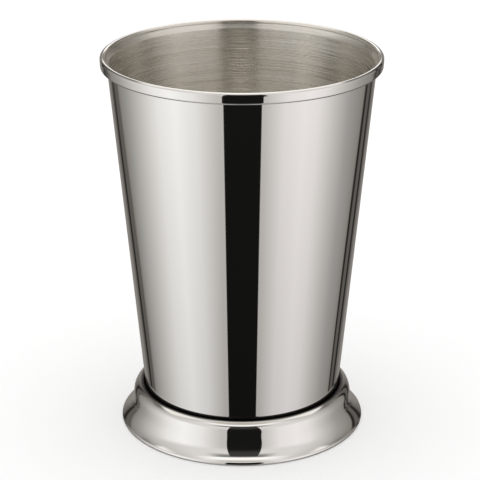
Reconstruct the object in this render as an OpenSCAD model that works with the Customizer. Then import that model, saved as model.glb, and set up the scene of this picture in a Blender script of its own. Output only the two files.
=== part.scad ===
// Julep cup: a drawn and tapered shell, a solid band round its mouth and a pressed foot, all in one steel.
// +Z is the cup's axis, pointing up. The origin is the centre of the circle that it stands on.
// Every piece is turned about +Z from a path that its sheet follows in the half-plane r, z.

/* [Cup] */
// Height from the table to the top of the lip
cup_h = 112.7; // [104:0.1:122]
// Outer diameter of the wall at its top, where the flare of the mouth begins
wall_top_d = 77.05; // [72:0.05:80]
// Outer diameter that the wall would have at the floor if it had no corner
base_d = 57.8; // [54:0.1:61]
// Thickness of the drawn sheet
sheet = 0.6; // [0.45:0.05:0.7]
// Outer radius of the corner between the floor and the wall
corner_r = 1.6; // [1.2:0.1:2.2]

/* [Mouth] */
// Depth below the lip at which the wall begins to flare, behind the band
flare_drop = 2.8; // [2.75:0.05:3.05]
// How far the flare leans out past the line of the wall, in degrees
flare_turn = 26; // [20:1:30]
// Length of the straight part of the flare
flare_run = 1.2; // [1:0.05:1.25]
// Inside radius of the two bends of the flare
flare_bend_r = 0.5; // [0.3:0.05:0.6]
// Lean of the mouth outwards from upright, in degrees
mouth_lean = 3; // [1:0.5:6]
// Height of the band from its flat underside to the lip
band_h = 3.3; // [3.15:0.05:3.6]
// Thickness of the band at the mouth
band_t = 1.1; // [1:0.05:1.15]
// Radius of the band's lower outer corner
band_edge_r = 0.65; // [0.4:0.05:0.7]

/* [Foot] */
// Height of the shoulder's crown above the table
foot_h = 11.5; // [10.5:0.1:13]
// Depth of the cup's underside below that crown
well_depth = 2.9; // [2.6:0.1:3.4]
// Distance that the foot stands out past the wall's line at the floor
foot_spread = 7.4; // [6.8:0.1:9]
// Thickness of the foot's sheet
foot_sheet = 0.6; // [0.45:0.05:0.65]
// Clearance between the wall and the well that it stands in
foot_gap = 0.2; // [0.05:0.05:0.3]
// Radius of the bend that turns the well over into the shoulder
turnover_r = 0.7; // [0.7:0.05:1]
// Fall of the shoulder, in degrees past level, where its own radius begins
crown_fall = 19; // [12:1:26]
// Radius of the shoulder
shoulder_r = 3.5; // [3:0.1:4.2]
// Lean of the neck under the shoulder from upright, in degrees
neck_lean = 7; // [4:0.5:10]
// Length of the straight neck
neck_run = 1.9; // [1.2:0.1:2.4]
// Radius of the folded edge
edge_r = 0.7; // [0.65:0.05:0.85]
// Width of the strip that is folded back under the flare
hem_w = 3.2; // [2:0.1:4]
// Width of the ring on the folded edge that is dressed flat to stand on
seat_w = 0.5; // [0.3:0.05:0.7]
// Width of the flange that lies flat under the floor
flange_w = 7; // [4:0.1:10]

/* [Welds] */
// Number of tack welds along the inner edge of the flange
weld_count = 6; // [3:1:10]
// Length of each tack weld along that edge
weld_len = 6; // [3:0.5:9]

/* [Hidden] */
$fn = 180;

// Colours of the finishes that show
mirror_steel = [0.80, 0.79, 0.77];
weld_steel = [0.60, 0.58, 0.55];

// Most degrees that one side of an outline spans on a bend
arc_pitch = 6;

// A sheet follows a path, which is its show face, as a list of moves. A move is [turn, size]: with a turn of 0
// it is a straight run of that length, and otherwise a bend through that angle, positive to the left, whose
// size is the radius of the face.
function aim(a) = [cos(a), sin(a)];
function hub(p, a, turn, r) = p + r * aim(a + 90 * sign(turn));
function past(p, a, turn, size) =
    turn == 0 ? p + size * aim(a) : hub(p, a, turn, size) + size * aim(a + turn - 90 * sign(turn));

// Stations along the path from p, heading a: each is [point, heading]
function after(moves, p, a, i = 0) =
    i == len(moves) ? [] :
    let (turn = moves[i][0], size = moves[i][1], n = max(1, ceil(abs(turn) / arc_pitch)))
    concat(
        [for (k = [1 : n]) [past(p, a, turn * k / n, size), a + turn * k / n]],
        after(moves, past(p, a, turn, size), a + turn, i + 1)
    );
function stations(moves, p, a) = concat([[p, a]], after(moves, p, a));

// The two sides of the sheet at those stations: its face, and its back at t to the left, in return order
function face(s) = [for (q = s) q[0]];
function back(s, t) = [for (i = [len(s) - 1 : -1 : 0]) s[i][0] + t * aim(s[i][1] + 90)];

// Points of an arc about c, without its two ends
function between(c, r, a1, a2) =
    let (n = max(2, ceil(abs(a2 - a1) / arc_pitch))) [for (k = [1 : n - 1]) c + r * aim(a1 + (a2 - a1) * k / n)];

// The cup's wall: its heading, and the radius of its outer face at a height
floor_z = foot_h - well_depth;
wall_top_z = cup_h - flare_drop;
wall_a = atan2(wall_top_z - floor_z, (wall_top_d - base_d) / 2);
function wall_r(z) = base_d / 2 + (z - floor_z) / tan(wall_a);

// The shell's corner, in line with the floor's underside and with the wall
corner_c = [wall_r(floor_z + corner_r) - corner_r / sin(wall_a), floor_z + corner_r];
wall_p = corner_c + corner_r * aim(wall_a - 90);
wall_run = (wall_top_z - wall_p[1]) / sin(wall_a);

// The mouth: the wall flares out behind the band and turns up again, to end level with the middle of the round lip
mouth_a = 90 - mouth_lean;
wall_top_p = [wall_r(wall_top_z), wall_top_z];
to_mouth = [
    [-flare_turn, flare_bend_r],
    [0, flare_run],
    [mouth_a - wall_a + flare_turn, flare_bend_r + sheet]
];
flared = after(to_mouth, wall_top_p, wall_a);
mouth_p = flared[len(flared) - 1][0];
lip_r = (sheet + band_t) / 2;
lip_in = lip_r - band_t;
mouth_run = (cup_h - lip_r - lip_in * cos(mouth_a) - mouth_p[1]) / sin(mouth_a);
mouth_end = past(mouth_p, mouth_a, 0, mouth_run);
lip_c = mouth_end + lip_in * aim(mouth_a + 90);
function at_lip(up, left) = lip_c + up * aim(mouth_a) + left * aim(mouth_a + 90);

// The shell and the band share the lip: the joint between them comes up at this angle of its round
joint_a = mouth_a - asin(lip_in / lip_r);
joint_p = lip_c + lip_r * aim(joint_a);

// The foot's well: the cup's own corner and wall, moved outwards by the clearance
well_c = corner_c + [foot_gap / sin(wall_a), 0];
well_p = well_c + corner_r * aim(wall_a - 90);
well_run = (foot_h - turnover_r * (1 - cos(wall_a)) - well_p[1]) / sin(wall_a);
flange_r = well_c[0] - flange_w;

// From the well over the crown, the shoulder and the neck to the flare
neck_a = neck_lean - 90;
foot_moves = [
    [0, flange_w],
    [wall_a, corner_r],
    [0, well_run],
    [-wall_a - crown_fall, turnover_r],
    [neck_a + crown_fall, shoulder_r],
    [0, neck_run]
];
down_to_flare = stations(foot_moves, [flange_r, floor_z], 0);
flare_p = down_to_flare[len(down_to_flare) - 1][0];

// The flare: the one arc that leaves the neck in line and meets the folded edge in line
edge_c = [base_d / 2 + foot_spread - edge_r, sqrt(edge_r ^ 2 - (seat_w / 2) ^ 2)];
flare_d = flare_p - edge_c;
flare_r = (flare_d * flare_d - edge_r ^ 2) / (2 * (edge_r - flare_d * aim(neck_lean)));
flare_c = flare_p + flare_r * aim(neck_lean);
flare_end_a = atan2(flare_c[1] - edge_c[1], flare_c[0] - edge_c[0]);
hem_a = hem_w / flare_r * 180 / PI;
seat_a = asin(seat_w / 2 / edge_r);

// Drawn shell: floor, corner, tapered wall, flared mouth, and the inner part of the round lip
module cup_shell() {
    to_wall = [[0, corner_c[0]], [wall_a, corner_r], [0, wall_run]];
    path = stations(concat(to_wall, to_mouth, [[0, mouth_run]]), [0, floor_z], 0);
    color(mirror_steel) rotate_extrude() polygon(concat(
        face(path), [joint_p], between(lip_c, lip_r, joint_a, mouth_a + 90), back(path, sheet)
    ));
}

// Solid drawn band that fits behind the flare: flat below, upright outside, and the outer part of the round lip
module rim_band() {
    low_z = cup_h - band_h;
    seat = stations(concat(to_mouth, [[0, mouth_run]]), wall_top_p, wall_a);
    inset = lip_r - band_edge_r;
    up = (low_z + band_edge_r - lip_c[1] + inset * cos(mouth_a)) / sin(mouth_a);
    corner = at_lip(up, -inset);
    color(mirror_steel) rotate_extrude() polygon(concat(
        [[wall_r(low_z), low_z]], face(seat), [joint_p], between(lip_c, lip_r, joint_a, mouth_a - 90),
        [at_lip(0, -lip_r), at_lip(up, -lip_r)],
        between(corner, band_edge_r, mouth_a - 90, -90), [corner - [0, band_edge_r]]
    ));
}

// Pressed foot: flange, well, shoulder, neck and flare, with its edge folded back and dressed flat to stand on
module foot() {
    free = stations(concat(foot_moves, [[flare_end_a - neck_lean - hem_a, flare_r]]), [flange_r, floor_z], 0);
    hem_start = free[len(free) - 1];
    hemmed = after([[hem_a, flare_r]], hem_start[0], hem_start[1]);
    color(mirror_steel) rotate_extrude() polygon(concat(
        face(free), face(hemmed),
        between(edge_c, edge_r, flare_end_a, seat_a - 90),
        [[edge_c[0] + seat_w / 2, 0], [edge_c[0] - seat_w / 2, 0]],
        between(edge_c, edge_r, -seat_a - 90, flare_end_a - 180),
        back(concat([hem_start], hemmed), -2 * edge_r),
        back(free, -foot_sheet)
    ));
}

// Tack welds in the angle between the flange's inner edge and the floor
module foot_welds() {
    weld_a = weld_len / flange_r * 180 / PI;
    root = [flange_r, floor_z];
    color(weld_steel) for (k = [0 : weld_count - 1])
        rotate(k * 360 / weld_count) rotate_extrude(angle = weld_a) polygon(concat(
            [root, root - [foot_sheet, 0]], between(root, foot_sheet, 180, 270), [root - [0, foot_sheet]]
        ));
}

cup_shell();
rim_band();
foot();
foot_welds();
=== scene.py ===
# %% [markdown]
# # A julep cup in polished stainless steel
# The cup is a drawn shell with a solid band round its mouth and a pressed foot under it. Its outside is
# polished to a mirror and its inside is brushed round and round. A mirror shows nothing of its own, so
# most of the work here is in two places: surfaces smooth enough to reflect cleanly, and a studio worth
# reflecting.

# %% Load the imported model
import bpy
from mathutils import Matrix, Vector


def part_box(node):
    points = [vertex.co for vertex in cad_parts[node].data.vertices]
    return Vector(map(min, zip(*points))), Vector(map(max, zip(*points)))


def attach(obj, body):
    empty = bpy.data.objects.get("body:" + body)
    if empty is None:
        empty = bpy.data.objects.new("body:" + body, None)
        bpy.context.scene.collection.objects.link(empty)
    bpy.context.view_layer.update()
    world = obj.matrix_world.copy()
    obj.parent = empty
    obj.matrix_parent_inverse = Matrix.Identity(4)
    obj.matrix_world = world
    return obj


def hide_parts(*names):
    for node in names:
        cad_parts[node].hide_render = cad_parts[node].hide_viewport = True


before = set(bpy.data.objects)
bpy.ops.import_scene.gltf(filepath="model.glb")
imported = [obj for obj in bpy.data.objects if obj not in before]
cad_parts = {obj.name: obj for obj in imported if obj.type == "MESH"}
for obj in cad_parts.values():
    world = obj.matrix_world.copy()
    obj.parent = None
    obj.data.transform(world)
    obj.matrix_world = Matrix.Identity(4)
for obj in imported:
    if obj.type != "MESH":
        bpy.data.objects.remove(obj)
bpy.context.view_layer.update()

# %% [markdown]
# ## Sizes
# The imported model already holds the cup's height, its radii and the level of its floor, so those are read
# from the boxes of its nodes. The rest are the shop sizes of the sheet and its bends, in millimetres.

# %% Read the main sizes and write down the others
from math import asin, atan2, ceil, cos, degrees, pi, radians, sin, sqrt, tan

import bmesh
import bpy
from mathutils import Matrix, Vector

MM = 0.001

CUP_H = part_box("rim_band")[1].z
FLOOR_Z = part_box("cup_shell")[0].z
FOOT_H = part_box("foot")[1].z
FOOT_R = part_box("foot")[1].x

WALL_TOP_R = 38.525 * MM
BASE_R = 28.9 * MM
SHEET = 0.6 * MM
CORNER_R = 1.6 * MM
FLARE_DROP = 2.8 * MM
FLARE_TURN = radians(26)
FLARE_RUN = 1.2 * MM
FLARE_BEND_R = 0.5 * MM
MOUTH_LEAN = radians(3)
BAND_H = 3.3 * MM
BAND_T = 1.1 * MM
BAND_EDGE_R = 0.65 * MM

FOOT_SHEET = 0.6 * MM
FOOT_GAP = 0.2 * MM
TURNOVER_R = 0.7 * MM
CROWN_FALL = radians(19)
SHOULDER_R = 3.5 * MM
NECK_LEAN = radians(7)
NECK_RUN = 1.9 * MM
EDGE_R = 0.7 * MM
HEM_W = 3.2 * MM
SEAT_W = 0.5 * MM
FLANGE_W = 7 * MM
WELD_COUNT = 6
WELD_LEN = 6 * MM

QUARTER = pi / 2
print(f"cup {CUP_H / MM:.1f} mm tall, floor at {FLOOR_Z / MM:.1f} mm, foot {2 * FOOT_R / MM:.1f} mm across")

# %% [markdown]
# ## Following the sheet
# A press tool is drawn as a path: run this far, bend through that angle at this radius. The same few rules
# give every outline here. Bends are cut into short sides, and a straight run gets an extra point near each
# end. Smooth shading averages the directions of neighbouring faces, so without those points the wall would
# reflect as if it were slightly bowed.

# %% Rules of a sheet path
ARC_PITCH = radians(3)
GUARD = 0.15 * MM


def aim(a):
    return Vector((cos(a), sin(a)))


def past(point, heading, turn, size):
    """Where a move ends: a straight run, or a bend through turn at that radius, positive to the left."""
    if turn == 0:
        return point + size * aim(heading)
    side = QUARTER if turn > 0 else -QUARTER
    return point + size * aim(heading + side) + size * aim(heading + turn - side)


def follow(moves, point, heading):
    """Stations along a path, each a point and the heading there."""
    stations = [(point, heading)]
    for turn, size in moves:
        if turn == 0:
            shares = [GUARD / size, 1 - GUARD / size, 1] if size > 3 * GUARD else [1]
            stations += [(past(point, heading, 0, size * share), heading) for share in shares]
        else:
            sides = max(2, ceil(abs(turn) / ARC_PITCH))
            for k in range(1, sides + 1):
                part = turn * k / sides
                stations.append((past(point, heading, part, size), heading + part))
        point = past(point, heading, turn, size)
        heading += turn
    return stations


def face(stations):
    return [point for point, _ in stations]


def back(stations, thickness):
    """The other side of the sheet, thickness to the left of the path, in return order."""
    return [point + thickness * aim(heading + QUARTER) for point, heading in reversed(stations)]


def between(centre, radius, start, end):
    """Points of an arc without its two ends."""
    sides = max(2, ceil(abs(end - start) / ARC_PITCH))
    return [centre + radius * aim(start + (end - start) * k / sides) for k in range(1, sides)]


# %% [markdown]
# ## The wall, the mouth and the well
# The straight wall is the line that everything else is set from: the flare of the mouth leaves it at the
# top, and the foot's well stands beside it at the bottom with a little clearance.

# %% Places along the shell and the foot
WALL_TOP_Z = CUP_H - FLARE_DROP
wall_a = atan2(WALL_TOP_Z - FLOOR_Z, WALL_TOP_R - BASE_R)


def wall_r(z):
    return BASE_R + (z - FLOOR_Z) / tan(wall_a)


corner_c = Vector((wall_r(FLOOR_Z + CORNER_R) - CORNER_R / sin(wall_a), FLOOR_Z + CORNER_R))
wall_p = corner_c + CORNER_R * aim(wall_a - QUARTER)
wall_run = (WALL_TOP_Z - wall_p.y) / sin(wall_a)

mouth_a = QUARTER - MOUTH_LEAN
wall_top_p = Vector((WALL_TOP_R, WALL_TOP_Z))
to_mouth = [
    (-FLARE_TURN, FLARE_BEND_R),
    (0, FLARE_RUN),
    (mouth_a - wall_a + FLARE_TURN, FLARE_BEND_R + SHEET),
]
mouth_p = follow(to_mouth, wall_top_p, wall_a)[-1][0]
lip_r = (SHEET + BAND_T) / 2
lip_in = lip_r - BAND_T
mouth_run = (CUP_H - lip_r - lip_in * cos(mouth_a) - mouth_p.y) / sin(mouth_a)
lip_c = past(mouth_p, mouth_a, 0, mouth_run) + lip_in * aim(mouth_a + QUARTER)
joint_a = mouth_a - asin(lip_in / lip_r)
joint_p = lip_c + lip_r * aim(joint_a)


def at_lip(up, left):
    return lip_c + up * aim(mouth_a) + left * aim(mouth_a + QUARTER)


well_c = corner_c + Vector((FOOT_GAP / sin(wall_a), 0))
well_p = well_c + CORNER_R * aim(wall_a - QUARTER)
well_run = (FOOT_H - TURNOVER_R * (1 - cos(wall_a)) - well_p.y) / sin(wall_a)
flange_r = well_c.x - FLANGE_W
print(f"wall leans {90 - degrees(wall_a):.2f} degrees, mouth {2 * (lip_c.x + lip_r) / MM:.1f} mm across")

# %% [markdown]
# ## Turning an outline
# Each piece is a body of revolution. By hand one would draw its section and spin it: a plane is merged to
# a single point, the point is extruded along the outline, the last point is joined to the first, and Spin
# carries the section round the axis. Merging the doubles closes the seam and the pole, and the normals are
# recalculated because a spun skin can come out inside out.

# %% Draw a section and spin it
SPIN_STEPS = 288
SAME_POINT = 0.0005 * MM
CREASE = radians(30)


def only(obj):
    bpy.ops.object.select_all(action="DESELECT")
    obj.select_set(True)
    bpy.context.view_layer.objects.active = obj


def draw_section(name, outline):
    """An object holding a closed loop of edges in the plane of X and Z."""
    bpy.ops.object.select_all(action="DESELECT")
    start = Vector((outline[0].x, 0, outline[0].y))
    bpy.ops.mesh.primitive_plane_add(size=MM, location=start)
    piece = bpy.context.object
    piece.name = piece.data.name = name
    bpy.ops.object.transform_apply(location=True, rotation=False, scale=False)
    bpy.ops.object.mode_set(mode="EDIT")
    bpy.ops.mesh.merge(type="CENTER")
    for here, there in zip(outline, outline[1:]):
        move = Vector((there.x - here.x, 0, there.y - here.y))
        bpy.ops.mesh.extrude_vertices_move(TRANSFORM_OT_translate={"value": move})
    mesh = bmesh.from_edit_mesh(piece.data)
    mesh.verts.ensure_lookup_table()
    mesh.verts[0].select = True
    mesh.select_flush_mode()
    bpy.ops.mesh.edge_face_add()
    bpy.ops.object.mode_set(mode="OBJECT")
    return piece


def turn(name, outline, sweep=2 * pi, steps=SPIN_STEPS):
    """Spins a section about the cup's axis into a closed skin."""
    piece = draw_section(name, outline)
    whole = sweep == 2 * pi
    bpy.ops.object.mode_set(mode="EDIT")
    bpy.ops.mesh.select_all(action="SELECT")
    if not whole:
        bpy.ops.mesh.edge_face_add()
    bpy.ops.mesh.spin(steps=steps, angle=sweep, center=(0, 0, 0), axis=(0, 0, 1), use_auto_merge=whole)
    bpy.ops.mesh.select_all(action="SELECT")
    bpy.ops.mesh.remove_doubles(threshold=SAME_POINT)
    bpy.ops.mesh.normals_make_consistent(inside=False)
    bpy.ops.object.mode_set(mode="OBJECT")
    bpy.ops.object.shade_smooth_by_angle(angle=CREASE)
    print(f"{name}: {len(outline)} points, {len(piece.data.polygons)} faces")
    return piece


# %% [markdown]
# ## The shell
# A deep-drawn cup is one skin of even thickness, so its section is the path of its outside, round the half
# of the lip that belongs to it, and back along the inside.

# %% Turn the shell
shell_path = follow(
    [(0, corner_c.x), (wall_a, CORNER_R), (0, wall_run), *to_mouth, (0, mouth_run)], Vector((0, FLOOR_Z)), 0
)
lip_inside = between(lip_c, lip_r, joint_a, mouth_a + QUARTER)
cup_shell = turn("shell", face(shell_path) + [joint_p] + lip_inside + back(shell_path, SHEET))

# %% [markdown]
# ## The band
# The band is a solid drawn moulding: flat below, upright outside, and round on top, where it is the outer
# part of the lip. The wall flares out behind it, so that inside the cup only one soft crease shows where
# the two are joined. Its lower outer corner is well rounded and carries the thin grey line that frames the
# mouth from below.

# %% Turn the band
band_z = CUP_H - BAND_H
inset = lip_r - BAND_EDGE_R
edge_up = (band_z + BAND_EDGE_R - lip_c.y + inset * cos(mouth_a)) / sin(mouth_a)
band_c = at_lip(edge_up, -inset)
rim_band = turn("band", [
    Vector((wall_r(band_z), band_z)),
    *face(follow([*to_mouth, (0, mouth_run)], wall_top_p, wall_a)),
    joint_p,
    *between(lip_c, lip_r, joint_a, mouth_a - QUARTER),
    at_lip(0, -lip_r),
    at_lip(-GUARD, -lip_r),
    at_lip(edge_up + GUARD, -lip_r),
    at_lip(edge_up, -lip_r),
    *between(band_c, BAND_EDGE_R, mouth_a - QUARTER, -QUARTER),
    band_c - Vector((0, BAND_EDGE_R)),
    Vector((wall_r(band_z) + GUARD, band_z)),
])

# %% [markdown]
# ## The foot
# One pressed ring: flat under the floor, up beside the wall, over into a round shoulder, down a short neck
# and out in a flare whose edge is folded back on itself. The flare is the one arc that leaves the neck in
# line and meets the fold in line, so its radius is worked out and not chosen.

# %% Turn the foot
neck_a = NECK_LEAN - QUARTER
foot_moves = [
    (0, FLANGE_W),
    (wall_a, CORNER_R),
    (0, well_run),
    (-wall_a - CROWN_FALL, TURNOVER_R),
    (neck_a + CROWN_FALL, SHOULDER_R),
    (0, NECK_RUN),
]
flare_p = follow(foot_moves, Vector((flange_r, FLOOR_Z)), 0)[-1][0]
edge_c = Vector((FOOT_R - EDGE_R, sqrt(EDGE_R**2 - (SEAT_W / 2) ** 2)))
flare_d = flare_p - edge_c
flare_r = (flare_d.length_squared - EDGE_R**2) / (2 * (EDGE_R - flare_d.dot(aim(NECK_LEAN))))
flare_c = flare_p + flare_r * aim(NECK_LEAN)
flare_a = atan2(flare_c.y - edge_c.y, flare_c.x - edge_c.x)
hem_a = HEM_W / flare_r
seat_a = asin(SEAT_W / 2 / EDGE_R)

free = follow([*foot_moves, (flare_a - NECK_LEAN - hem_a, flare_r)], Vector((flange_r, FLOOR_Z)), 0)
hemmed = follow([(hem_a, flare_r)], *free[-1])
foot = turn("pressed_foot", [
    *face(free),
    *face(hemmed[1:]),
    *between(edge_c, EDGE_R, flare_a, seat_a - QUARTER),
    Vector((edge_c.x + SEAT_W / 2, 0)),
    Vector((edge_c.x - SEAT_W / 2, 0)),
    *between(edge_c, EDGE_R, -seat_a - QUARTER, flare_a - pi),
    *back(hemmed, -2 * EDGE_R),
    *back(free, -FOOT_SHEET),
])
print(f"flare radius {flare_r / MM:.2f} mm")

# %% [markdown]
# ## The tack welds
# Short runs of weld metal hold the flange to the floor, out of sight underneath. One is modelled in the
# angle between the two, and the others are copies turned round the axis.

# %% Lay one weld and copy it round
WELD_STEPS = 16
root = Vector((flange_r, FLOOR_Z))
weld = turn("tack_welds", [
    root,
    root - Vector((FOOT_SHEET, 0)),
    *between(root, FOOT_SHEET, pi, 3 * QUARTER),
    root - Vector((0, FOOT_SHEET)),
], sweep=WELD_LEN / flange_r, steps=WELD_STEPS)
bpy.ops.object.mode_set(mode="EDIT")
for k in range(1, WELD_COUNT):
    bpy.ops.mesh.select_all(action="DESELECT")
    mesh = bmesh.from_edit_mesh(weld.data)
    one_weld = len(mesh.verts) // k
    for index, vert in enumerate(mesh.verts):
        vert.select = index < one_weld
    mesh.select_flush_mode()
    bpy.ops.mesh.duplicate()
    mesh = bmesh.from_edit_mesh(weld.data)
    round_axis = Matrix.Rotation(k * 2 * pi / WELD_COUNT, 4, "Z")
    bmesh.ops.transform(mesh, matrix=round_axis, verts=[v for v in mesh.verts if v.select])
    bmesh.update_edit_mesh(weld.data)
bpy.ops.object.mode_set(mode="OBJECT")
print(f"{WELD_COUNT} welds, {len(weld.data.polygons)} faces together")

# %% [markdown]
# ## Finishes
# Every piece is the same stainless steel, a warm grey metal, and what tells them apart is how each surface
# was finished, except for the shade painted in and beside the groove. Colours are written as the sRGB values
# that a colour picker shows, and one function turns them to the linear values that a shader works in. A
# finish changes only with the distance from the axis and with height, so both are worked out from Object
# coordinates, which are metres on the real cup.

# %% Small helpers for materials
def linear(code):
    parts = [int(code[i:i + 2], 16) / 255 for i in (1, 3, 5)]
    return [*(c / 12.92 if c <= 0.04045 else ((c + 0.055) / 1.055) ** 2.4 for c in parts), 1]


def new_material(name):
    material = bpy.data.materials.new(name)
    material.use_nodes = True
    return material, material.node_tree, material.node_tree.nodes["Principled BSDF"]


def add(tree, kind, values=(), links=(), **settings):
    """Adds a node, sets its options and its input values, and links its inputs from other nodes' outputs."""
    node = tree.nodes.new(kind)
    for key, value in settings.items():
        setattr(node, key, value)
    for socket, value in dict(values).items():
        node.inputs[socket].default_value = value
    for socket, output in dict(links).items():
        tree.links.new(output, node.inputs[socket])
    return node


def polar(tree):
    """Where a shaded point is: flattened onto the table, its distance from the axis, and its height."""
    place = add(tree, "ShaderNodeTexCoord").outputs["Object"]
    flat = add(tree, "ShaderNodeVectorMath", {1: (1, 1, 0)}, {0: place}, operation="MULTIPLY").outputs[0]
    reach = add(tree, "ShaderNodeVectorMath", links={0: flat}, operation="LENGTH").outputs["Value"]
    up = add(tree, "ShaderNodeSeparateXYZ", links={0: place}).outputs["Z"]
    return flat, reach, up


# A fade with soft ends, and the sockets that a Mix node keeps for colours
SOFT = {"interpolation_type": "SMOOTHSTEP"}
COLOUR_A, COLOUR_B, MIXED = 6, 7, 2

# %% [markdown]
# ## Mirror-polished stainless
# The outside is buffed with compound until it is a mirror, so it is all metal with next to no roughness:
# the eye sees the room in it and hardly the steel. In the groove where the cup stands in its foot a thin,
# dark, dull line is drawn: rougher where a buffing wheel can't reach, and dark as painted shade for the
# light that the groove traps. It could be painted on through a UV map. Measuring how far a point is from
# the groove, in the plane of radius and height, needs no map and suits both pieces.

# %% How far a point is from the groove
STEEL = "#E3E2DE"
GROOVE_OUT = 0.5 * MM
GROOVE_DOWN = 0.2 * MM

mirror, tree, shader = new_material("mirror_polished_stainless")
flat, reach, up = polar(tree)
section = add(tree, "ShaderNodeCombineXYZ", links={"X": reach, "Z": up}).outputs[0]
groove = (wall_r(FOOT_H) + GROOVE_OUT, 0, FOOT_H - GROOVE_DOWN)
away = add(tree, "ShaderNodeVectorMath", {1: groove}, {0: section}, operation="DISTANCE").outputs["Value"]
print(f"groove at radius {groove[0] / MM:.2f} mm, height {groove[2] / MM:.2f} mm")

# %% Painted shade and a dull finish in the groove, a mirror everywhere else
# The near-black tone here is painted shade for the groove, and it fades to the steel's colour away from it
GROOVE_SHADE = "#1E1B18"
GROOVE_SHADE_FADE = {"From Min": 0.5 * MM, "From Max": 1.2 * MM}
DULL_TO_MIRROR = {"To Min": 0.35, "To Max": 0.03}

out_of_groove_shade = add(tree, "ShaderNodeMapRange", GROOVE_SHADE_FADE, {"Value": away}, **SOFT).outputs[0]
SHADE_TO_STEEL = {COLOUR_A: linear(GROOVE_SHADE), COLOUR_B: linear(STEEL)}
tone = add(tree, "ShaderNodeMix", SHADE_TO_STEEL, {0: out_of_groove_shade}, data_type="RGBA")
rough = add(tree, "ShaderNodeMapRange", DULL_TO_MIRROR, {"Value": out_of_groove_shade})
tree.links.new(tone.outputs[MIXED], shader.inputs["Base Color"])
tree.links.new(rough.outputs[0], shader.inputs["Roughness"])
shader.inputs["Metallic"].default_value = 1

# %% [markdown]
# ## Brushed stainless
# The inside is rubbed with abrasive while the cup turns, which leaves fine scratches that run round the
# axis. Each one spreads light across itself, so a reflection is drawn up and down while its sides stay
# crisp: the dark strip of the studio is still a strip in here. Anisotropy does that, turned by a quarter
# so that it follows the scratches, and Blender's own tangent already runs round Z, so no UV map is needed.
# Single scratches are too fine to show, so two sets of streaks are drawn as coarse as they need to be.

# %% Streaks that run round the axis
COARSE_PITCH = 1.3 * MM
FINE_PITCH = 0.3 * MM
CHANGE_ROUND = 0.6

brushed, tree, shader = new_material("brushed_stainless")
flat, reach, up = polar(tree)
level = add(tree, "ShaderNodeMath", links={0: up, 1: reach}, operation="ADD").outputs[0]
along = add(tree, "ShaderNodeVectorMath", links={0: flat}, operation="NORMALIZE").outputs[0]
slowly = {"Scale": CHANGE_ROUND}
spread = add(tree, "ShaderNodeVectorMath", slowly, {0: along}, operation="SCALE").outputs[0]


def streaks(pitch, detail, seed):
    """Noise drawn out round the axis, as lines that are one pitch apart up the wall and along the floor."""
    line = add(tree, "ShaderNodeMath", {1: 1 / pitch, 2: seed}, {0: level}, operation="MULTIPLY_ADD")
    row = add(tree, "ShaderNodeCombineXYZ", links={"Z": line.outputs[0]}).outputs[0]
    where = add(tree, "ShaderNodeVectorMath", links={0: spread, 1: row}, operation="ADD").outputs[0]
    return add(tree, "ShaderNodeTexNoise", {"Scale": 1, "Detail": detail}, {"Vector": where}).outputs["Fac"]


coarse = streaks(COARSE_PITCH, detail=3, seed=0)
fine = streaks(FINE_PITCH, detail=2, seed=40)
print(f"streaks {COARSE_PITCH / MM:.1f} and {FINE_PITCH / MM:.1f} mm apart")

# %% Tone, roughness and ridges from the streaks
BRUSHED_DARK = "#DAD5CB"
BRUSHED_LIGHT = "#F7F4ED"
ROUGHNESS = {"From Min": 0.35, "From Max": 0.65, "To Min": 0.18, "To Max": 0.41}
FINE_RIDGE = 0.02 * MM
COARSE_RIDGE = 0.03 * MM

DARK_TO_LIGHT = {COLOUR_A: linear(BRUSHED_DARK), COLOUR_B: linear(BRUSHED_LIGHT)}
tone = add(tree, "ShaderNodeMix", DARK_TO_LIGHT, {0: coarse}, data_type="RGBA")
rough = add(tree, "ShaderNodeMapRange", ROUGHNESS, {"Value": fine})
lines = add(tree, "ShaderNodeBump", {"Strength": 1, "Distance": FINE_RIDGE}, {"Height": fine}).outputs[0]
bands = {"Height": coarse, "Normal": lines}
ridges = add(tree, "ShaderNodeBump", {"Strength": 1, "Distance": COARSE_RIDGE}, bands)
tree.links.new(tone.outputs[MIXED], shader.inputs["Base Color"])
tree.links.new(rough.outputs[0], shader.inputs["Roughness"])
tree.links.new(ridges.outputs[0], shader.inputs["Normal"])
shader.inputs["Metallic"].default_value = 1
shader.inputs["Anisotropic"].default_value = 1
shader.inputs["Anisotropic Rotation"].default_value = 0.25

# %% [markdown]
# ## Satin steel, painted shade in the crevice, and weld metal
# Nobody buffs the underside: the cup's floor and the foot's back keep the satin of the rolling mill. The
# narrow gap between the cup and its well is given a near-black metal as painted shade. Weld metal cools
# dull and a little rough. Plain values are enough for all three, because none of them is seen close.

# %% Three plain materials, the dark one painted shade
plain = {}
for name, colour, roughness in [
    ("satin_stainless", "#C9C5BE", 0.35),
    # The near-black crevice colour is painted shade for the deep gap beside the well, not a finish of the
    # steel
    ("painted_crevice_shade", "#2B2824", 0.55),
    ("tack_weld_metal", "#A8A39C", 0.45),
]:
    plain[name], tree, shader = new_material(name)
    shader.inputs["Metallic"].default_value = 1
    shader.inputs["Base Color"].default_value = linear(colour)
    shader.inputs["Roughness"].default_value = roughness
print("finishes:", mirror.name, brushed.name, *plain)

# %% [markdown]
# ## Which face gets which finish
# A finish begins and ends along a ring, so it is enough to know on which stretch of its outline a face was
# spun. Choosing rings by hand would do the same. Here the middle of a face is set against the outline,
# once for each ring, because all faces of a ring share one radius and one height.

# %% Give a piece its finishes
TOUCHING = 0.03 * MM


def lies_on(middle, points):
    """Whether a place in the plane of radius and height lies on a stretch of an outline."""
    for here, there in zip(points, points[1:]):
        run = there - here
        share = min(max((middle - here).dot(run) / run.length_squared, 0), 1)
        if (middle - here - share * run).length < TOUCHING:
            return True
    return False


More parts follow.
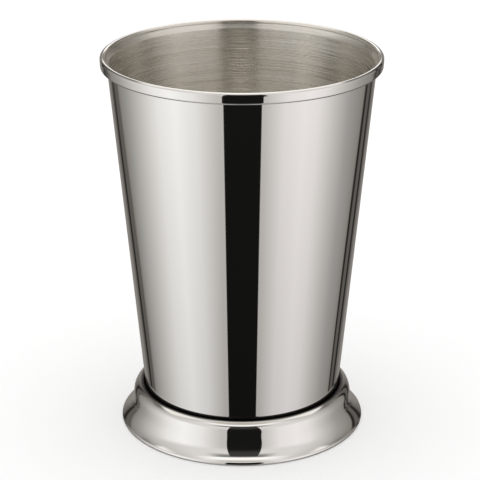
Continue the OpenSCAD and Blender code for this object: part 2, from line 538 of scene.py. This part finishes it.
def dress(piece, ground, finishes=()):
    """Gives a piece one finish all over, and others to the faces that lie on a stretch of its outline."""
    piece.data.materials.append(ground)
    for number, (finish, points) in enumerate(finishes, 1):
        piece.data.materials.append(finish)
        known = {}
        for polygon in piece.data.polygons:
            middle = Vector((Vector(polygon.center[:2]).length, polygon.center.z))
            ring = (round(middle.x / MM, 2), round(middle.y / MM, 2))
            if ring not in known:
                known[ring] = lies_on(middle, points)
            if known[ring]:
                polygon.material_index = number
    dressed = sum(polygon.material_index > 0 for polygon in piece.data.polygons)
    print(f"{piece.name}: {dressed} of {len(piece.data.polygons)} faces have a finish of their own")


# %% [markdown]
# ## Dressing the cup
# The brushing covers the inside and laps onto the inner side of the lip, where the wheel for the outside
# doesn't reach. Below the groove the shell and the well that it stands in get the near-black painted shade.

# %% Dress the pieces
LINE_DEPTH = 0.3 * MM
BRUSHED_FROM = lip_c.x - 0.5 * lip_r

inside = [point for point in lip_inside if point.x < BRUSHED_FROM] + back(shell_path, SHEET)
floor_under = [Vector((0, FLOOR_Z)), corner_c - Vector((0, CORNER_R))]
below = [point for point in face(shell_path) if point.x >= corner_c.x and point.y < FOOT_H]
below.append(Vector((wall_r(FOOT_H - LINE_DEPTH), FOOT_H - LINE_DEPTH)))
well = face(follow([*foot_moves[:3], (-wall_a, TURNOVER_R)], Vector((flange_r, FLOOR_Z)), 0))
under_edge = between(edge_c, EDGE_R, -seat_a - QUARTER, flare_a - pi)
under = [*under_edge, *back(hemmed, -2 * EDGE_R), *back(free, -FOOT_SHEET), Vector((flange_r, FLOOR_Z))]

satin, crevice_shade = plain["satin_stainless"], plain["painted_crevice_shade"]
# The crevice material is painted shade on the shell below the groove and on the well
dress(cup_shell, mirror, [(brushed, inside), (crevice_shade, below), (satin, floor_under)])
dress(rim_band, mirror)
dress(foot, mirror, [(satin, under), (crevice_shade, well)])
dress(weld, plain["tack_weld_metal"])

# %% [markdown]
# ## Taking the place of the plain model
# Each piece replaces one node of the imported model, which is hidden, and rides on the only body, because
# nothing on a cup moves.

# %% Tie the pieces to the model
for piece, node, slot in [
    (cup_shell, "cup_shell", "shell_stainless"),
    (rim_band, "rim_band", "polished_stainless"),
    (foot, "foot", "polished_stainless"),
    (weld, "foot_welds", "weld_metal"),
]:
    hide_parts(node)
    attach(piece, "root")

# %% [markdown]
# ## The floor
# A matt white floor catches the cup's soft shadow. It is kept out of reflections, because what a polished
# cup would show of it is already in the studio below.

# %% Lay the floor
FLOOR_SIZE = 8
bpy.ops.object.select_all(action="DESELECT")
bpy.ops.mesh.primitive_plane_add(size=FLOOR_SIZE, location=(0, 0, 0))
floor = bpy.context.object
floor.name = "studio_floor"
paint, tree, shader = new_material("matt_white_floor")
shader.inputs["Base Color"].default_value = linear("#FFFFFF")
shader.inputs["Roughness"].default_value = 0.9
shader.inputs["Specular IOR Level"].default_value = 0
floor.data.materials.append(paint)
floor.visible_glossy = False
print(f"{floor.name}: {FLOOR_SIZE} m square")

# %% [markdown]
# ## A room for a mirror
# A polished cup shows nothing but its room, so the room is worth as much care as the cup. It could be
# built of glowing planes. Here the world's own shader draws it from the direction of a ray, which costs no
# geometry and lets each panel's edge be placed to the degree. A direction is given by two angles: round
# the cup, from the camera's side and growing to the right, and up from the level of the table.

# %% Two angles for every direction
world = bpy.data.worlds.new("studio")
bpy.context.scene.world = world
world.use_nodes = True
tree = world.node_tree
tree.nodes.clear()

towards = add(tree, "ShaderNodeTexCoord").outputs["Generated"]
parts = add(tree, "ShaderNodeSeparateXYZ", links={0: towards}).outputs
ahead = add(tree, "ShaderNodeMath", {1: -1}, {0: parts["Y"]}, operation="MULTIPLY").outputs[0]
bearing = add(tree, "ShaderNodeMath", links={0: parts["X"], 1: ahead}, operation="ARCTAN2").outputs[0]
off_front = add(tree, "ShaderNodeMath", links={0: bearing}, operation="ABSOLUTE").outputs[0]
height = add(tree, "ShaderNodeMath", links={0: parts["Z"]}, operation="ARCSINE").outputs[0]
print("nodes for the two angles:", len(tree.nodes))

# %% [markdown]
# ## Panels round the cup
# The room is a ring of tones round the cup, with a second ring that closes it above. Each stop is an angle
# and the tone that the steel shows from there. The ring is bright at the front corners, where two large
# soft panels stand, the right one a little rosier than the left. It is grey behind, and has narrow dark
# gaps on each side, at the panels' far edges.

# %% Ten tones and two rings that share them
GAP, SHADE, GREY, STONE, MIDDLE = "#24221F", "#575450", "#7B7670", "#969490", "#B9B5B0"
LIGHT, SOFT_LEFT, PALE_LEFT = "#CECBC7", "#DFDDD9", "#ECEBE7"
SOFT_RIGHT, PALE_RIGHT = "#DCD7D4", "#E4DFDC"

AROUND = [
    (-180, GREY), (-158, GREY), (-148.8, SHADE), (-147.2, GAP), (-143.8, GAP), (-142.5, SHADE),
    (-134.5, SHADE), (-133, GREY), (-118, STONE), (-101, MIDDLE), (-79, SOFT_LEFT), (-61, PALE_LEFT),
    (-41, SOFT_LEFT), (-20, MIDDLE), (20, MIDDLE), (38, SOFT_RIGHT), (57, PALE_RIGHT), (71, SOFT_RIGHT),
    (90, MIDDLE), (108, STONE), (131.7, GREY), (133.2, GAP), (136.8, GAP), (138.2, SHADE), (143.5, SHADE),
    (145, GAP), (148.5, GAP), (150, SHADE), (160, GREY), (180, GREY),
]
ABOVE = [
    (-180, SHADE), (-150, SHADE), (-115, STONE), (-97, MIDDLE), (-60, LIGHT), (64, LIGHT), (93, MIDDLE),
    (110, STONE), (123, GREY), (150, SHADE), (180, SHADE),
]
print("stops in the rings:", len(AROUND), len(ABOVE))


# %% Draw a ring and fade between heights
def ends(low, high, **results):
    """Values for the two ends of a fade between angles in degrees."""
    return {"From Min": radians(low), "From Max": radians(high), **results}


def ring(direction, stops):
    """Tones round the cup, over an angle from the camera's side."""
    share = add(tree, "ShaderNodeMapRange", ends(-180, 180), {"Value": direction}).outputs[0]
    wheel = add(tree, "ShaderNodeValToRGB", links={"Fac": share})
    colours = wheel.color_ramp.elements
    colours.remove(colours[1])
    colours[0].color = linear(stops[0][1])
    for angle, code in stops[1:]:
        colours.new((angle + 180) / 360).color = linear(code)
    return wheel.outputs[0]


# %% [markdown]
# ## Lines that lean
# The tapered wall looks a little downwards and the flare of the foot looks up, so one ring serves both,
# each in its own range of heights. The panels stand close to the cup, so a dark gap between them isn't seen
# in the same direction from the top of the wall as from its bottom. A world is infinitely far away and
# can't do that by itself. Turning the directions at the back a few degrees with height leans the gaps by as
# much. The foot is small and sees them upright.

# %% Lean the far gaps and join the rings
LEAN = {"To Min": radians(-6.5), "To Max": radians(4)}
LEAN_HEIGHTS = (-28, -18)
BACK_FROM, BACK_TO = 118, 132
WALL_TO_FOOT = (-24, -11)
AROUND_TO_ABOVE = (18, 35)

lean = add(tree, "ShaderNodeMapRange", ends(*LEAN_HEIGHTS, **LEAN), {"Value": height}).outputs[0]
left = add(tree, "ShaderNodeMapRange", ends(-BACK_FROM, -BACK_TO), {"Value": bearing}, **SOFT).outputs[0]
right = add(tree, "ShaderNodeMapRange", ends(BACK_FROM, BACK_TO), {"Value": bearing}, **SOFT).outputs[0]
side = add(tree, "ShaderNodeMath", links={0: left, 1: right}, operation="SUBTRACT").outputs[0]
shifted = {0: lean, 1: side, 2: bearing}
leaning = add(tree, "ShaderNodeMath", links=shifted, operation="MULTIPLY_ADD").outputs[0]

rise = add(tree, "ShaderNodeMapRange", ends(*WALL_TO_FOOT), {"Value": height}, **SOFT).outputs[0]
over = add(tree, "ShaderNodeMapRange", ends(*AROUND_TO_ABOVE), {"Value": height}, **SOFT).outputs[0]
for_wall = ring(leaning, AROUND)
for_foot = ring(bearing, AROUND)
above = ring(bearing, ABOVE)
joined = {0: rise, COLOUR_A: for_wall, COLOUR_B: for_foot}
walls = add(tree, "ShaderNodeMix", links=joined, data_type="RGBA").outputs[MIXED]
closed = {0: over, COLOUR_A: walls, COLOUR_B: above}
room = add(tree, "ShaderNodeMix", links=closed, data_type="RGBA").outputs[MIXED]
print("nodes with the rings:", len(tree.nodes))

# %% [markdown]
# ## What hangs overhead
# The foot's flare, the round lip and the brushed inside all look up. A grey gap and then a bright lamp
# hang over the camera, and give the foot the bright curve below its dark patch. The ceiling is pale, and
# behind the cup it comes down low: a round lip seen from the front mirrors the far side of the room, and
# that is what draws the white line round the mouth. It also lights the middle of the inside and leaves its
# two sides dim.

# %% Hang the panels
ALL_ROUND = (181, 180)
PANELS = {
    "gap over the camera": ("#7C7A77", (42, 52), (48, 22)),
    "lamp over the camera": ("#F4F2EE", (57.5, 61), (85, 30)),
    "ceiling": ("#B9B3A9", (67, 75), ALL_ROUND),
    "dim band behind": ("#6A6661", (31, 37), (108, 126)),
    "low ceiling behind": ("#E4E0D9", (42, 47), (90, 104)),
    "pale wall behind": ("#FFFBF4", (14.6, 17.6), (158, 168)),
    "top of the ceiling": ("#C8C2B8", (80, 87), ALL_ROUND),
}


def hang(room, colour, heights, sides):
    """Lays a panel over the room. It fades in over the first pair of heights and of angles off the front."""
    up = add(tree, "ShaderNodeMapRange", ends(*heights), {"Value": height}, **SOFT)
    out = add(tree, "ShaderNodeMapRange", ends(*sides), {"Value": off_front}, **SOFT)
    both = {0: up.outputs[0], 1: out.outputs[0]}
    share = add(tree, "ShaderNodeMath", links=both, operation="MULTIPLY").outputs[0]
    over_room = {0: share, COLOUR_A: room}
    return add(tree, "ShaderNodeMix", {COLOUR_B: linear(colour)}, over_room, data_type="RGBA").outputs[MIXED]


for colour, heights, sides in PANELS.values():
    room = hang(room, colour, heights, sides)
print("hung:", ", ".join(PANELS))

# %% [markdown]
# ## The dark slit
# Between the two front panels there is a gap for the lens. It is the black strip down the middle of the
# cup, and the patch on its foot. It starts near the floor and ends under the lamp, where it turns to grey.
# Like the far gaps it is nearer than a world can be, so its middle and its width move a little with
# height.

# %% Cut the slit
SLIT_MIDDLE = {"To Min": radians(0.65), "To Max": radians(2.4)}
SLIT_HALF = {"To Min": radians(16.8), "To Max": radians(17.3)}
SLIT_EDGE = 0.35
SLIT_BOTTOM = (-49, -47)
SLIT_TOP = (58, 53)

middle = add(tree, "ShaderNodeMapRange", SLIT_MIDDLE, {"Value": rise}).outputs[0]
half = add(tree, "ShaderNodeMapRange", SLIT_HALF, {"Value": rise}).outputs[0]
off = add(tree, "ShaderNodeMath", links={0: bearing, 1: middle}, operation="SUBTRACT").outputs[0]
off = add(tree, "ShaderNodeMath", links={0: off}, operation="ABSOLUTE").outputs[0]
off = add(tree, "ShaderNodeMath", links={0: off, 1: half}, operation="SUBTRACT").outputs[0]

slit = add(tree, "ShaderNodeMapRange", ends(SLIT_EDGE, -SLIT_EDGE), {"Value": off}, **SOFT).outputs[0]
for fade in [SLIT_BOTTOM, SLIT_TOP]:
    end = add(tree, "ShaderNodeMapRange", ends(*fade), {"Value": height}, **SOFT).outputs[0]
    slit = add(tree, "ShaderNodeMath", links={0: slit, 1: end}, operation="MULTIPLY").outputs[0]
print(f"slit from {SLIT_BOTTOM[0]} to {SLIT_TOP[0]} degrees")

# %% Give the slit its black and grey
SLIT_BLACK, SLIT_GREY = "#141412", "#373633"
PALER_HEIGHTS = (24, 44)

paler = add(tree, "ShaderNodeMapRange", ends(*PALER_HEIGHTS), {"Value": height}, **SOFT).outputs[0]
greys = {COLOUR_A: linear(SLIT_BLACK), COLOUR_B: linear(SLIT_GREY)}
dark = add(tree, "ShaderNodeMix", greys, {0: paler}, data_type="RGBA").outputs[MIXED]
cut = {0: slit, COLOUR_A: room, COLOUR_B: dark}
room = add(tree, "ShaderNodeMix", links=cut, data_type="RGBA").outputs[MIXED]
print("nodes with the slit:", len(tree.nodes))

# %% [markdown]
# ## Light from the room
# The panels grow dimmer towards the floor. The colours above are those that the steel shows, so they are
# divided by the steel's own colour to give the light that it reflects. Only reflections see the room.
# Everything else is lit by one plain, soft white, which keeps the floor and the background white.

# %% Dim the room downwards and hand it to the reflections
DIMMED_BELOW = ends(-48, -25, **{"To Min": 0.516, "To Max": 1.065})
RAISED_ABOVE = ends(-25, 20, **{"To Min": 1, "To Max": 1.015})
lower = add(tree, "ShaderNodeMapRange", DIMMED_BELOW, {"Value": height}).outputs[0]
upper = add(tree, "ShaderNodeMapRange", RAISED_ABOVE, {"Value": height}).outputs[0]
power = add(tree, "ShaderNodeMath", links={0: lower, 1: upper}, operation="MULTIPLY").outputs[0]
shown = add(tree, "ShaderNodeVectorMath", links={0: room, "Scale": power}, operation="SCALE").outputs[0]
lit = add(tree, "ShaderNodeVectorMath", {1: linear(STEEL)[:3]}, {0: shown}, operation="DIVIDE").outputs[0]

SOFT_WHITE = {COLOUR_A: (1.08, 1.08, 1.08, 1)}
is_glossy = add(tree, "ShaderNodeLightPath").outputs["Is Glossy Ray"]
seen = {0: is_glossy, COLOUR_B: lit}
light = add(tree, "ShaderNodeMix", SOFT_WHITE, seen, data_type="RGBA").outputs[MIXED]
background = add(tree, "ShaderNodeBackground", links={"Color": light}).outputs[0]
add(tree, "ShaderNodeOutputWorld", links={"Surface": background})
print("nodes in the studio:", len(tree.nodes))

# %% [markdown]
# ## The camera
# A long lens from above the rim shows a little of the inside and keeps the taper honest. The values come
# from fitting a camera to the cup's outline, which also gave its proportions. The cup's axis stands a
# little to the right of the middle of the frame, so the lens is shifted by that many pixels.

# %% Place the camera
CAMERA_PLACE = (0, -0.53924, 0.25993)
PITCH = radians(20.72)
LENS = 146.63
SENSOR = 36
FRAME_PIXELS = 480
PIXELS_RIGHT = 1.9

bpy.ops.object.select_all(action="DESELECT")
bpy.ops.object.camera_add(location=CAMERA_PLACE, rotation=(QUARTER - PITCH, 0, 0))
camera = bpy.context.object
camera.data.lens = LENS
camera.data.sensor_width = SENSOR
camera.data.shift_x = -PIXELS_RIGHT / FRAME_PIXELS
bpy.context.scene.camera = camera
bpy.context.scene.view_settings.view_transform = "Standard"
print(f"camera {CAMERA_PLACE[2]:.2f} m up, looking down by {degrees(PITCH):.1f} degrees")
